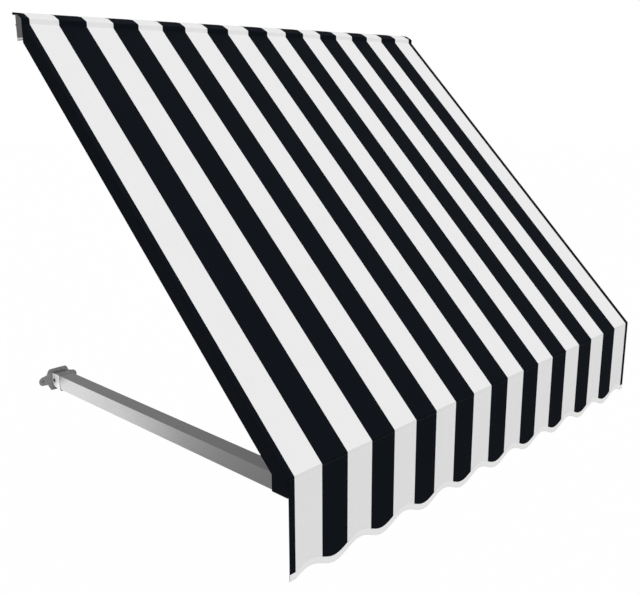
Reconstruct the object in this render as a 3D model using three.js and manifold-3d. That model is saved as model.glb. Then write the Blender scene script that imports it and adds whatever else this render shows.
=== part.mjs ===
// Striped fabric awning with its frame: a wall rail with a head cap, two rafters, a front bar,
// two side arms on wall brackets, a taut striped cover and a scalloped valance.
// Millimetres. +X to the right seen from the street, +Y towards the wall, +Z up.
// Origin: back of the middle rail bracket, on the wall plane Y = 0.

import * as THREE from 'three';
import * as BufferGeometryUtils from 'three/addons/utils/BufferGeometryUtils.js';
import Module from 'manifold-3d';

const wasm = await Module();
wasm.setup();

// Driving dimensions: the whole awning
const awning_width = 1943;
const projection = 1220;
const slope_angle_deg = 44.6;
const gap = 0.3;

// Cloth
const cloth = 0.8;
const stripe_width = 100;
const valance_drop = 289;
const scallop_depth = 15;
const scallop_steps = 6;
const binding_width = 20;
const binding_tape = 0.5;
const wing_depth = 47.5;
const wing_turn_up = 12;
const corner_flap_depth = 61;
const corner_flap_drop = 53.5;
const loop_start_deg = 150;
const loop_end_deg = -170;
const loop_steps = 8;

// Wall rail, its end caps and brackets
const rail_depth = 37;
const rail_height = 72.7;
const rail_wall = 2.4;
const rail_stand_off = 17;
const rail_slope_flat = 10;
const rail_slope_drop = 12.9;
const rail_rib = 3.4;
const rail_rib_height = 6;
const rail_rib_z = 5;
const end_cap_thickness = 2.5;
const end_cap_plug = 12;
const end_cap_lip = 5.6;
const bracket_count = 3;
const bracket_length = 60;
const bracket_plate = 5;
const bracket_shelf = 4;
const bracket_screw_spacing = 36;
const bracket_end_inset = 130;
const wall_screw_hole_radius = 3.3;
const lock_screw_radius = 3;
const lock_screw_grip = 9;

// Head cap over the rail, under the cloth
const cap_wall = 2.2;
const cap_front_gap = 11;
const cap_nose_height = 17;
const cap_chamfer_depth = 32;
const cap_chamfer_angle_deg = 26.6;
const cap_top_rise = 4;
const cap_lip_drop = 6;
const cap_rear_gap = 0.5;
const nose_bottom_z = 6;
const cap_screw_count = 5;
const cap_screw_inset = 60;

// Rafters, front bar and what joins them
const rafter_width = 18;
const rafter_wall = 2;
const foot_plate = 3;
const foot_plug_length = 55;
const front_bar_depth = 45;
const front_bar_height = 51;
const front_bar_wall = 2.5;
const keder_radius = 2.5;
const keder_slot = 1.8;
const keder_drop = 13;
const angle_leg = 26;
const angle_height = 22;
const angle_thickness = 3;

// Arms, their pivots and wall brackets
const arm_size = 49;
const arm_wall = 3;
const arm_edge_inset = 22.5;
const arm_drop = 42;
const front_pin_reach = 27.5;
const arm_end_past_pin = 9.5;
const lug_plate = 4;
const lug_ear = 5;
const lug_ear_radius = 14;
const lug_neck = 10;
const wall_pin_reach = 19.4;
const fork_end_past_pin = 17.4;
const fork_length = 50.2;
const fork_wall = 5;
const fork_corner_radius = 22;
const fork_shank_length = 60;
const fork_seam = 3;
const collar_lip_length = 8;
const collar_lip_depth = 4;
const set_screw_reach = 19;
const set_screw_head_radius = 5.5;
const set_screw_head_height = 3.5;
const pin_radius = 4;
const pin_head_radius = 5.5;
const pin_head_height = 3;
const nut_radius = 6.5;
const nut_height = 6;
const pad_thickness = 1;
const pad_inset = 1;
const plate_thickness = 3;
const plate_ear_reach = 72;
const plate_ear_radius = 15.5;
const plate_ear_drop = 2;
const plate_body_half = 34;
const plate_waist_half = 43.5;
const plate_foot_half = 29.5;
const plate_top = 36;
const plate_bottom = 40.5;
const plate_lug = 6;
const plate_lug_radius = 14;

// Small screws
const screw_radius = 2.1;
const screw_head_radius = 4.2;
const screw_head_height = 2.4;
const screw_length = 14;
const angle_screw_reach = 16;
const round_sides = 16;
const screw_sides = 8;

// How far joined solids reach into each other and cutting tools reach past a face
const bite = 1;

// Worked-out places
const slope = THREE.MathUtils.degToRad(slope_angle_deg);
const half_width = awning_width / 2;
const skin = cloth + gap;
const rail_back = -rail_stand_off;
const rail_front = rail_back - rail_depth;
const rail_top = rail_height / 2;
const rail_bottom = -rail_height / 2;
const face_y = rail_front - cap_front_gap;
const fold_y = -projection;
const fold_z = nose_bottom_z - (face_y - fold_y) * Math.tan(slope);
const edge_stripe = (awning_width - stripe_width * (2 * Math.floor(awning_width / stripe_width / 2) + 1)) / 2;
const rafter_depth = wing_depth - 2 * skin;
const bar_front = fold_y + 2 * skin;
const bar_back = bar_front + front_bar_depth;
const bar_top = fold_z - gap;
const bar_bottom = bar_top - front_bar_height;
const arm_x = half_width - arm_edge_inset - arm_size / 2;
const arm_z = fold_z - arm_drop;
const front_pin_y = bar_back + gap + lug_plate + front_pin_reach;
const plate_back = -pad_thickness - gap;
const plate_front = plate_back - plate_thickness;
const wall_pin_y = plate_front - wall_pin_reach;
const fork_end_y = wall_pin_y + fork_end_past_pin;
const seam_y = fork_end_y - fork_length;

// Materials
function finish(color, roughness, metalness) {
  return new THREE.MeshStandardMaterial({ color, roughness, metalness });
}
const mill_aluminium = finish(0xb9bbbd, 0.38, 1.0);
const cast_grey = finish(0x6f7073, 0.6, 0.7);
const zinc = finish(0x9a9c9e, 0.35, 1.0);
const black_steel = finish(0x2a2b2d, 0.45, 1.0);
const black_rubber = finish(0x1c1c1d, 0.85, 0.0);
const grey_plastic = finish(0x7b7d80, 0.55, 0.0);
const keder_plastic = finish(0xd8d8d4, 0.5, 0.0);
const binding_white = finish(0xebebea, 0.85, 0.0);
const striped_cloth = new THREE.MeshStandardMaterial({ vertexColors: true, roughness: 0.9, metalness: 0 });
const cloth_white = new THREE.Color(0xeeeeee);
const cloth_black = new THREE.Color(0x11151c);

const awning = new THREE.Group();

function addPiece(name, geometry, material, position = [0, 0, 0], rotation = [0, 0, 0]) {
  const mesh = new THREE.Mesh(geometry, material);
  mesh.name = name;
  mesh.position.set(...position);
  mesh.rotation.set(...rotation);
  awning.add(mesh);
  return mesh;
}

// Joining and cutting of closed solids
function toSolid(geometry) {
  const bare = geometry.clone();
  for (const key of Object.keys(bare.attributes)) {
    if (key !== 'position') bare.deleteAttribute(key);
  }
  const merged = BufferGeometryUtils.mergeVertices(bare, 1e-4);
  return new wasm.Manifold(new wasm.Mesh({
    numProp: 3,
    vertProperties: new Float32Array(merged.attributes.position.array),
    triVerts: new Uint32Array(merged.index.array),
  }));
}

function toGeometry(solid) {
  const mesh = solid.getMesh();
  const geometry = new THREE.BufferGeometry();
  geometry.setAttribute('position', new THREE.BufferAttribute(new Float32Array(mesh.vertProperties), 3));
  geometry.setIndex(new THREE.BufferAttribute(new Uint32Array(mesh.triVerts), 1));
  const flat = geometry.toNonIndexed();
  flat.computeVertexNormals();
  return flat;
}

function join(...geometries) {
  return toGeometry(geometries.map(toSolid).reduce((sum, piece) => sum.add(piece)));
}

function cut(geometry, ...tools) {
  return toGeometry(tools.map(toSolid).reduce((rest, tool) => rest.subtract(tool), toSolid(geometry)));
}

// A section drawn in (Y, Z) and run along X
function alongX(outline, x0, x1, holes = []) {
  const shape = new THREE.Shape(outline.map(([y, z]) => new THREE.Vector2(y, z)));
  for (const hole of holes) shape.holes.push(new THREE.Path(hole.map(([y, z]) => new THREE.Vector2(y, z))));
  const geometry = new THREE.ExtrudeGeometry(shape, { depth: x1 - x0, bevelEnabled: false, steps: 1 });
  const yz = new THREE.Matrix4().makeBasis(
    new THREE.Vector3(0, 1, 0), new THREE.Vector3(0, 0, 1), new THREE.Vector3(1, 0, 0));
  return geometry.applyMatrix4(yz).translate(x0, 0, 0);
}

// An outline drawn in (X, Z) and run along Y
function alongY(outline, y0, y1, holes = []) {
  const shape = new THREE.Shape(outline.map(([x, z]) => new THREE.Vector2(x, z)));
  for (const hole of holes) shape.holes.push(new THREE.Path(hole.map(([x, z]) => new THREE.Vector2(x, z))));
  const geometry = new THREE.ExtrudeGeometry(shape, { depth: y1 - y0, bevelEnabled: false, steps: 1 });
  return geometry.rotateX(Math.PI / 2).translate(0, y1, 0);
}

function box(x0, x1, y0, y1, z0, z1) {
  return new THREE.BoxGeometry(x1 - x0, y1 - y0, z1 - z0)
    .translate((x0 + x1) / 2, (y0 + y1) / 2, (z0 + z1) / 2);
}

function rodX(radius, x0, x1, y, z) {
  return new THREE.CylinderGeometry(radius, radius, x1 - x0, round_sides)
    .rotateZ(Math.PI / 2).translate((x0 + x1) / 2, y, z);
}

function rodY(radius, y0, y1, x, z) {
  return new THREE.CylinderGeometry(radius, radius, y1 - y0, round_sides).translate(x, (y0 + y1) / 2, z);
}

function rodZ(radius, z0, z1, x, y) {
  return new THREE.CylinderGeometry(radius, radius, z1 - z0, round_sides)
    .rotateX(Math.PI / 2).translate(x, y, (z0 + z1) / 2);
}

// Radius of a faceted hole that clears a round shaft
function holeRadius(shaft) {
  return (shaft + gap) / Math.cos(Math.PI / round_sides);
}

function arc(cy, cz, radius, from_deg, to_deg, steps) {
  const points = [];
  for (let i = 0; i <= steps; i++) {
    const a = THREE.MathUtils.degToRad(from_deg + (to_deg - from_deg) * i / steps);
    points.push([cy + radius * Math.cos(a), cz + radius * Math.sin(a)]);
  }
  return points;
}

// A screw along +Z, with the underside of its head at Z = 0
function screwGeometry(radius, length, head_radius, head_height) {
  const profile = [
    [0, -length], [radius * 0.6, -length + radius], [radius, -length + 2 * radius], [radius, 0],
    [head_radius, 0], [head_radius, head_height * 0.45], [head_radius * 0.62, head_height],
    [head_radius * 0.38, head_height], [head_radius * 0.38, head_height * 0.45], [0, head_height * 0.45],
  ];
  return new THREE.LatheGeometry(profile.map(([r, z]) => new THREE.Vector2(r, z)), screw_sides)
    .rotateX(Math.PI / 2);
}

function countersunkGeometry(radius, length, head_radius, head_height) {
  const profile = [
    [0, -length], [radius * 0.6, -length + radius], [radius, -length + 2 * radius],
    [radius, -head_height], [head_radius, 0], [0, 0],
  ];
  return new THREE.LatheGeometry(profile.map(([r, z]) => new THREE.Vector2(r, z)), screw_sides)
    .rotateX(Math.PI / 2);
}

// A hexagonal nut along X
function nutGeometry(hole, across_corners, height) {
  const corners = arc(0, 0, across_corners, 0, 300, 5);
  const inner = arc(0, 0, hole, 0, 360 - 360 / round_sides, round_sides - 1).reverse();
  return alongX(corners, 0, height, [inner]);
}

// Wall rail: an aluminium extrusion with a sloped top and a rib that hangs on the brackets
const rail_slope_start = rail_back - rail_slope_flat;
const rail_outline = [
  [rail_back, rail_bottom], [rail_back, rail_rib_z - rail_rib_height / 2],
  [rail_back + rail_rib, rail_rib_z - rail_rib_height / 2],
  [rail_back + rail_rib, rail_rib_z + rail_rib_height / 2],
  [rail_back, rail_rib_z + rail_rib_height / 2], [rail_back, rail_top],
  [rail_slope_start, rail_top], [rail_front, rail_top - rail_slope_drop], [rail_front, rail_bottom],
];
const rail_hollow = [
  [rail_front + rail_wall, rail_bottom + rail_wall],
  [rail_front + rail_wall, rail_top - rail_slope_drop - rail_wall],
  [rail_slope_start - rail_wall / 4, rail_top - rail_wall],
  [rail_back - rail_wall, rail_top - rail_wall], [rail_back - rail_wall, rail_bottom + rail_wall],
];
const rail_half = half_width - end_cap_thickness - gap;
const bracket_xs = Array.from({ length: bracket_count }, (_, i) =>
  (i - (bracket_count - 1) / 2) * (awning_width - 2 * bracket_end_inset) / (bracket_count - 1));
const bracket_names = ['left', 'centre', 'right'];
const lock_y = (rail_front + rail_back) / 2;
const rail_angle = Math.atan2(rail_slope_drop, rail_slope_start - rail_front);
const cap_screw_y = (rail_slope_start + rail_front) / 2;
const cap_screw_xs = Array.from({ length: cap_screw_count }, (_, i) =>
  (i / (cap_screw_count - 1) - 0.5) * (awning_width - 2 * cap_screw_inset));

function railGeometry() {
  const tube = alongX(rail_outline, -rail_half, rail_half, [rail_hollow]);
  const lock_holes = bracket_xs.map((x) =>
    rodZ(holeRadius(lock_screw_radius), rail_bottom - 1, rail_bottom + rail_wall + 1, x, lock_y));
  const screw_holes = cap_screw_xs.map((x) => capScrewHole(x));
  const angle_holes = [-1, 1].map((side) =>
    rodY(holeRadius(screw_radius), rail_front - 1, rail_front + rail_wall + 1, side * angle_screw_x, angle_z));
  return cut(tube, ...lock_holes, ...screw_holes, ...angle_holes);
}

// Head cap: outer line of the cloth over the head, then the cap's own line one skin inside it
const chamfer = THREE.MathUtils.degToRad(cap_chamfer_angle_deg);
const nose_top_z = nose_bottom_z + cap_nose_height;
const chamfer_end = [face_y + cap_chamfer_depth, nose_top_z + cap_chamfer_depth * Math.tan(chamfer)];
const crown = [-cap_rear_gap - cap_lip_drop, chamfer_end[1] + cap_top_rise];
const lip_top = [-cap_rear_gap, crown[1] - cap_lip_drop * 0.2];
const lip_foot = [-cap_rear_gap, lip_top[1] - cap_lip_drop];
const head_line = [[face_y, nose_bottom_z], [face_y, nose_top_z], chamfer_end, crown, lip_top, lip_foot];

// Moves an open line sideways by a distance, to the left of its direction, with mitred corners
function offsetLine(line, distance) {
  return line.map((point, i) => {
    const before = i > 0 ? unit(line[i - 1], point) : unit(point, line[i + 1]);
    const after = i < line.length - 1 ? unit(point, line[i + 1]) : before;
    const n0 = [-before[1], before[0]];
    const n1 = [-after[1], after[0]];
    const k = distance / (1 + n0[0] * n1[0] + n0[1] * n1[1]);
    return [point[0] + (n0[0] + n1[0]) * k, point[1] + (n0[1] + n1[1]) * k];
  });
}

function unit(a, b) {
  const length = Math.hypot(b[0] - a[0], b[1] - a[1]);
  return [(b[0] - a[0]) / length, (b[1] - a[1]) / length];
}

const cap_outer = offsetLine(head_line, -skin);
const cap_inner = offsetLine(head_line, -skin - cap_wall);
const roof_top_z = cap_outer[1][1] + (cap_screw_y - cap_outer[1][0]) * Math.tan(chamfer);

function capScrewHole(x) {
  const radius = holeRadius(screw_radius);
  return new THREE.CylinderGeometry(radius, radius, screw_length * 3, round_sides)
    .rotateX(Math.PI / 2).rotateX(chamfer).translate(x, cap_screw_y, roof_top_z);
}

function capSinkHole(x) {
  const wide = holeRadius(screw_head_radius + gap);
  const narrow = holeRadius(screw_radius + gap);
  return new THREE.CylinderGeometry(wide, narrow, screw_head_height, round_sides)
    .rotateX(Math.PI / 2).translate(0, 0, -screw_head_height / 2 + gap)
    .rotateX(chamfer).translate(x, cap_screw_y, roof_top_z);
}

function headCapGeometry() {
  const web_y = rail_front - gap;
  const web = [
    [web_y - cap_wall, nose_bottom_z + gap], [web_y, nose_bottom_z + gap],
    [web_y, rail_top - rail_slope_drop + gap], [web_y - cap_wall, rail_top - rail_slope_drop + gap * 3],
  ];
  const skin_part = alongX([...cap_inner].concat([...cap_outer].reverse()), -rail_half, rail_half);
  const sill = [
    [cap_outer[0][0], nose_bottom_z + gap], [web_y, nose_bottom_z + gap],
    [web_y, nose_bottom_z + gap + cap_wall], [cap_outer[0][0], nose_bottom_z + gap + cap_wall],
  ];
  const nose = join(skin_part, alongX(sill, -rail_half, rail_half), alongX(web, -rail_half, rail_half));
  return cut(nose, ...cap_screw_xs.map(capScrewHole), ...cap_screw_xs.map(capSinkHole));
}

// End cap of the rail: a plate with a plug in the hollow and a foot lip below
function endCapGeometry(side) {
  const lip = [
    [rail_back, rail_bottom - end_cap_lip], [rail_front, rail_bottom - end_cap_lip],
    [rail_front, rail_bottom + bite], [rail_back, rail_bottom + bite],
  ];
  const inner = half_width - end_cap_thickness;
  const plate = alongX(rail_outline, inner, half_width);
  const foot = alongX(lip, inner, half_width);
  const clear = rail_wall + gap;
  const plug = box(
    inner - end_cap_plug, inner + bite, rail_front + clear, rail_back - clear,
    rail_bottom + clear, rail_top - rail_slope_drop - 2 * clear);
  const cap = join(plate, foot, plug);
  return side > 0 ? cap : mirrored(cap);
}

// Wall bracket of the rail: a plate, a ledge under the rail's rib and a shelf under the rail
function railBracketGeometry(x) {
  const ledge_top = rail_rib_z - rail_rib_height / 2 - gap;
  const ledge_front = rail_back + gap;
  const shelf_top = rail_bottom - gap;
  const outline = [
    [0, rail_top - bracket_shelf], [-bracket_plate, rail_top - bracket_shelf],
    [-bracket_plate, ledge_top], [ledge_front, ledge_top], [ledge_front, ledge_top - bracket_shelf],
    [-bracket_plate, ledge_top - bracket_shelf], [-bracket_plate, shelf_top],
    [rail_front + bracket_plate, shelf_top], [rail_front + bracket_plate, shelf_top - bracket_shelf],
    [0, shelf_top - bracket_shelf],
  ];
  const profile = alongX(outline, x - bracket_length / 2, x + bracket_length / 2);
  const screw_line_z = (rail_rib_z + rail_top) / 2;
  const wall_holes = [-1, 1].map((side) =>
    rodY(wall_screw_hole_radius, -bracket_plate - 1, 1, x + side * bracket_screw_spacing / 2, screw_line_z));
  const lock_hole = rodZ(
    holeRadius(lock_screw_radius), shelf_top - bracket_shelf - 1, shelf_top + 1, x, lock_y);
  return cut(profile, ...wall_holes, lock_hole);
}

// Rafter: a rectangular tube along the slope, cut level at its foot and plumb at its head
const down = [Math.sin(slope), -Math.cos(slope)];
const along = [Math.cos(slope), Math.sin(slope)];
const foot_z = bar_top + foot_plate + 2 * gap;
const rafter_out_x = half_width - skin;
const rafter_in_x = rafter_out_x - rafter_width;

// Point on a line parallel to the slope, a depth below the cloth's face, at a given Z or Y
function slopeAtZ(depth, z) {
  const y0 = fold_y + down[0] * depth;
  const z0 = fold_z + down[1] * depth;
  return [y0 + (z - z0) / Math.tan(slope), z];
}

function slopeAtY(depth, y) {
  const y0 = fold_y + down[0] * depth;
  const z0 = fold_z + down[1] * depth;
  return [y, z0 + (y - y0) * Math.tan(slope)];
}

function rafterGeometry(side) {
  const top = skin;
  const under = skin + rafter_depth;
  const head_y = rail_front - gap;
  const head_z = nose_bottom_z - cap_wall;
  const outline = [
    slopeAtZ(top, foot_z), slopeAtZ(under, foot_z), slopeAtY(under, head_y),
    [head_y, head_z], slopeAtZ(top, head_z),
  ];
  const x0 = side > 0 ? rafter_in_x : -rafter_out_x;
  const body = alongX(outline, x0, x0 + rafter_width);
  const bore = alongX([
    slopeAtY(top + rafter_wall, bar_front - rafter_depth), slopeAtY(under - rafter_wall, bar_front),
    slopeAtY(under - rafter_wall, 0), slopeAtY(top + rafter_wall, 0),
  ], x0 + rafter_wall, x0 + rafter_width - rafter_wall);
  const hole = side > 0
    ? rodX(holeRadius(screw_radius), rafter_in_x - 1, rafter_in_x + rafter_wall + 1, angle_screw_y, angle_z)
    : rodX(holeRadius(screw_radius), -rafter_in_x - rafter_wall - 1, -rafter_in_x + 1, angle_screw_y, angle_z);
  return cut(body, bore, hole);
}

// Foot of a rafter: a base plate on the front bar and a plug inside the tube
function rafterFootGeometry(side) {
  const top = skin + rafter_wall + gap;
  const under = skin + rafter_depth - rafter_wall - gap;
  const rise = foot_plug_length * Math.sin(slope);
  const plug_outline = [
    slopeAtZ(top, foot_z - gap - bite), slopeAtZ(under, foot_z - gap - bite),
    slopeAtZ(under, foot_z + rise), slopeAtZ(top, foot_z + rise),
  ];
  const x0 = side > 0 ? rafter_in_x : -rafter_out_x;
  const plug_gap = rafter_wall + gap;
  const plug = alongX(plug_outline, x0 + plug_gap, x0 + rafter_width - plug_gap);
  const plate = box(
    x0, x0 + rafter_width, slopeAtZ(skin, foot_z)[0] + foot_plate, bar_back,
    bar_top + gap, bar_top + gap + foot_plate);
  return join(plate, plug);
}

// Angle that ties a rafter's head to the rail
const angle_z = slopeAtY(2 * skin, rail_front - gap - angle_leg)[1] - angle_height / 2;
const angle_screw_y = rail_front - gap - angle_screw_reach;
const angle_screw_x = rafter_in_x - gap - angle_screw_reach;

function angleGeometry(side) {
  const x_face = rafter_in_x - gap;
  const y_face = rail_front - gap;
  const z0 = angle_z - angle_height / 2;
  const z1 = angle_z + angle_height / 2;
  const leg_rafter = box(x_face - angle_thickness, x_face, y_face - angle_leg, y_face, z0, z1);
  const leg_rail = box(x_face - angle_leg, x_face, y_face - angle_thickness, y_face, z0, z1);
  const hole_rail = rodY(
    holeRadius(screw_radius), y_face - angle_thickness - 1, y_face + 1, angle_screw_x, angle_z);
  const hole_rafter = rodX(
    holeRadius(screw_radius), x_face - angle_thickness - 1, x_face + 1, angle_screw_y, angle_z);
  const angle = cut(join(leg_rafter, leg_rail), hole_rail, hole_rafter);
  return side > 0 ? angle : mirrored(angle);
}

// Mirror image across X = 0, with its faces turned right side out again
function mirrored(geometry) {
  const flat = geometry.index ? geometry.toNonIndexed() : geometry.clone();
  const p = flat.attributes.position;
  for (let i = 0; i < p.count; i += 3) {
    const [bx, by, bz] = [p.getX(i + 1), p.getY(i + 1), p.getZ(i + 1)];
    p.setXYZ(i, -p.getX(i), p.getY(i), p.getZ(i));
    p.setXYZ(i + 1, -p.getX(i + 2), p.getY(i + 2), p.getZ(i + 2));
    p.setXYZ(i + 2, -bx, by, bz);
  }
  flat.computeVertexNormals();
  return flat;
}

// Front bar: an extrusion with a keder groove in its front face
const keder_pocket = keder_radius + gap + cloth + gap;
const keder_y = bar_front + keder_pocket + front_bar_wall * 0.8;
const keder_z = bar_top - keder_drop;
const bar_reach = half_width - skin - end_cap_thickness - gap;

function frontBarGeometry() {
  const mouth = Math.asin(keder_slot / 2 / keder_pocket) * 180 / Math.PI;
  const outline = [
    [bar_front, bar_bottom], [bar_back, bar_bottom], [bar_back, bar_top], [bar_front, bar_top],
    [bar_front, keder_z + keder_slot / 2],
    ...arc(keder_y, keder_z, keder_pocket, 180 - mouth, -180 + mouth, 16),
    [bar_front, keder_z - keder_slot / 2],
  ];
  const shelf_y = keder_y + keder_pocket + front_bar_wall;
  const shelf_z = keder_z - keder_pocket - front_bar_wall;
  const hollow = [
    [bar_front + front_bar_wall, bar_bottom + front_bar_wall], [bar_front + front_bar_wall, shelf_z],
    [shelf_y, shelf_z], [shelf_y, bar_top - front_bar_wall],
    [bar_back - front_bar_wall, bar_top - front_bar_wall],
    [bar_back - front_bar_wall, bar_bottom + front_bar_wall],
  ];
  const bar = alongX(outline, -bar_reach, bar_reach, [hollow]);
  const holes = lugScrewSpots().map(([x, z]) =>
    rodY(holeRadius(screw_radius), bar_back - front_bar_wall - 1, bar_back + 1, x, z));
  return cut(bar, ...holes);
}

function barCapGeometry(side) {
  const inner = half_width - skin - end_cap_thickness;
  const outer = half_width - skin;
  const clear = front_bar_wall + gap;
  const plate = box(inner, outer, bar_front, bar_back, bar_bottom, bar_top);
  const plug = box(
    inner - end_cap_plug, inner + 1, keder_y + keder_pocket + clear, bar_back - clear,
    bar_bottom + clear, bar_top - clear);
  const cap = join(plate, plug);
  return side > 0 ? cap : mirrored(cap);
}

// Lug on the back of the front bar, with two ears inside the arm's tube
const lug_half = arm_size / 2 - 1.5;
const ear_out = arm_size / 2 - arm_wall - gap * 2;
const lug_screw_offset = 14;

function lugScrewSpots() {
  return [-1, 1].flatMap((side) => [-1, 1].map((row) => [side * arm_x, lug_z + row * lug_screw_offset]));
}

const lug_z = (bar_top + bar_bottom) / 2;

function lugGeometry(side) {
  const x = side * arm_x;
  const y0 = bar_back + gap;
  const y1 = y0 + lug_plate;
  const base = box(x - lug_half, x + lug_half, y0, y1, Math.min(bar_bottom, arm_z - lug_neck), bar_top);
  const ear_outline = [
    [y0 + 1, arm_z - lug_neck], [front_pin_y - lug_ear_radius, arm_z - lug_neck],
    ...arc(front_pin_y, arm_z, lug_ear_radius, -120, 120, 14),
    [front_pin_y - lug_ear_radius, arm_z + lug_neck], [y0 + 1, arm_z + lug_neck],
  ];
  const ears = [-1, 1].map((s) => {
    const outer = x + s * ear_out;
    const inner = x + s * (ear_out - lug_ear);
    return alongX(ear_outline, Math.min(outer, inner), Math.max(outer, inner));
  });
  const bore = rodX(holeRadius(pin_radius), x - arm_size, x + arm_size, front_pin_y, arm_z);
  const screws = lugScrewSpots().filter(([sx]) => sx === x).map(([sx, sz]) =>
    rodY(holeRadius(screw_radius), y0 - 1, y1 + 1, sx, sz));
  return cut(join(base, ...ears), bore, ...screws);
}

// Arm: a square tube from the lug at the front to the fork at the wall
function armGeometry(side) {
  const x = side * arm_x;
  const h = arm_size / 2;
  const i = h - arm_wall;
  const y0 = front_pin_y - arm_end_past_pin;
  const y1 = seam_y - fork_seam;
  const tube = cut(box(x - h, x + h, y0, y1, arm_z - h, arm_z + h),
    box(x - i, x + i, y0 - 1, y1 + 1, arm_z - i, arm_z + i));
  const bore = rodX(holeRadius(pin_radius), x - arm_size, x + arm_size, front_pin_y, arm_z);
  const set_hole = rodZ(
    holeRadius(screw_radius), arm_z - h - 1, arm_z - i + 1, x, seam_y - set_screw_reach);
  return cut(tube, bore, set_hole);
}

// Fork at the wall end of an arm: two cheeks and a top web on a shank that fills the tube
function forkGeometry(side) {
  const x = side * arm_x;
  const h = arm_size / 2;
  const r = fork_corner_radius;
  const side_outline = [
    [seam_y, arm_z + h], [seam_y, arm_z - h],
    ...arc(fork_end_y - r, arm_z - h + r, r, -90, 0, 8), [fork_end_y, arm_z + h],
  ];
  const block = alongX(side_outline, x - h, x + h);
  const inner = h - fork_wall;
  const throat = box(
    x - inner, x + inner, seam_y + fork_wall, fork_end_y + 1, arm_z - h - 1, arm_z + inner);
  const shank_half = h - arm_wall - gap;
  const shank = box(
    x - shank_half, x + shank_half, seam_y - fork_shank_length, seam_y + 1,
    arm_z - shank_half, arm_z + shank_half);
  const core = box(
    x - shank_half + fork_wall, x + shank_half - fork_wall, seam_y - fork_shank_length - 1,
    seam_y - fork_wall, arm_z - shank_half + fork_wall, arm_z + shank_half - fork_wall);
  const bore = rodX(holeRadius(pin_radius), x - arm_size, x + arm_size, wall_pin_y, arm_z);
  const set_hole = rodZ(
    holeRadius(screw_radius), arm_z - h - 1, arm_z - shank_half + fork_wall + 1,
    x, seam_y - set_screw_reach);
  return cut(join(block, shank), throat, core, bore, set_hole);
}

// Collar in the seam between an arm and its fork, with a lip under the arm
function collarGeometry(side) {
  const x = side * arm_x;
  const h = arm_size / 2;
  const i = h - arm_wall;
  const y0 = seam_y - fork_seam + gap;
  const y1 = seam_y - gap;
  const lip_top = arm_z - h - gap;
  const lip_bottom = lip_top - collar_lip_depth;
  const block = box(x - h, x + h, y0, y1, lip_bottom, arm_z + h);
  const opening = box(x - i, x + i, y0 - bite, y1 + bite, arm_z - i, arm_z + i);
  const lip = box(x - h, x + h, y0 - collar_lip_length, y0 + bite, lip_bottom, lip_top);
  return cut(join(block, lip), opening);
}

// Wall bracket: a cast plate with two screw ears and two lugs for the fork's pin
function plateOutline(x, inset) {
  const ear_x = plate_ear_reach - plate_ear_radius;
  const ear_top = plate_ear_radius - plate_ear_drop;
  const ear_bottom = -plate_ear_radius - plate_ear_drop;
  const right = [
    [plate_body_half - 5.5, plate_top], [plate_body_half, plate_top - 2],
    [plate_body_half + 3.5, plate_top - 8], [plate_waist_half - 3.5, ear_top + 7.5],
    [plate_waist_half, ear_top + 3.5], [plate_waist_half + 4.5, ear_top + 2],
    ...arc(ear_x, -plate_ear_drop, plate_ear_radius, 80, -80, 10),
    [plate_waist_half + 1, ear_bottom - 0.5], [plate_waist_half - 3, ear_bottom - 1.5],
    [plate_foot_half + 4, -plate_bottom + 7.5], [plate_foot_half, -plate_bottom],
  ];
  const left = right.map(([px, pz]) => [-px, pz]).reverse();
  return right.concat(left).reverse().map(([px, pz]) => [
    x + px * (1 - inset / plate_ear_reach), arm_z + pz * (1 - inset / plate_top)]);
}

// Thin pad behind a wall bracket, pierced by the wall screws as they go in
function wallPadGeometry(side) {
  return alongY(plateOutline(side * arm_x, pad_inset), -pad_thickness, 0);
}

function wallBracketGeometry(side) {
  const x = side * arm_x;
  const screw_x = plate_ear_reach - plate_ear_radius;
  const plate = alongY(plateOutline(x, 0), plate_front, plate_back);
  const root_y = (plate_front + plate_back) / 2;
  const lug_outline = [
    [root_y, arm_z - plate_lug_radius], [root_y, arm_z + plate_lug_radius],
    ...arc(wall_pin_y, arm_z, plate_lug_radius, 90, 270, 14),
  ];
  const lug_out = arm_size / 2 - fork_wall - gap * 2;
  const lugs = [-1, 1].map((s) => {
    const outer = x + s * lug_out;
    const inner = x + s * (lug_out - plate_lug);
    return alongX([...lug_outline], Math.min(outer, inner), Math.max(outer, inner));
  });
  const bore = rodX(holeRadius(pin_radius), x - arm_size, x + arm_size, wall_pin_y, arm_z);
  const ear_holes = [-1, 1].map((s) => rodY(
    wall_screw_hole_radius, plate_front - bite, plate_back + bite, x + s * screw_x, arm_z - plate_ear_drop));
  return cut(join(plate, ...lugs), bore, ...ear_holes);
}

// Pivot bolt across an arm: head on the outer face, nut on the inner one
function pivotBoltGeometry(side, y) {
  const x = side * arm_x;
  const grip = arm_size + 2 * gap;
  const shank_end = nut_height + 2 * gap + 2;
  const profile = [
    [0, -grip - shank_end], [pin_radius, -grip - shank_end], [pin_radius, 0], [pin_head_radius, 0],
    [pin_head_radius, pin_head_height * 0.5], [pin_head_radius * 0.7, pin_head_height], [0, pin_head_height],
  ];
  const bolt = new THREE.LatheGeometry(profile.map(([r, z]) => new THREE.Vector2(r, z)), round_sides)
    .rotateZ(side > 0 ? -Math.PI / 2 : Math.PI / 2);
  return bolt.translate(x + side * (arm_size / 2 + gap), y, arm_z);
}

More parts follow.
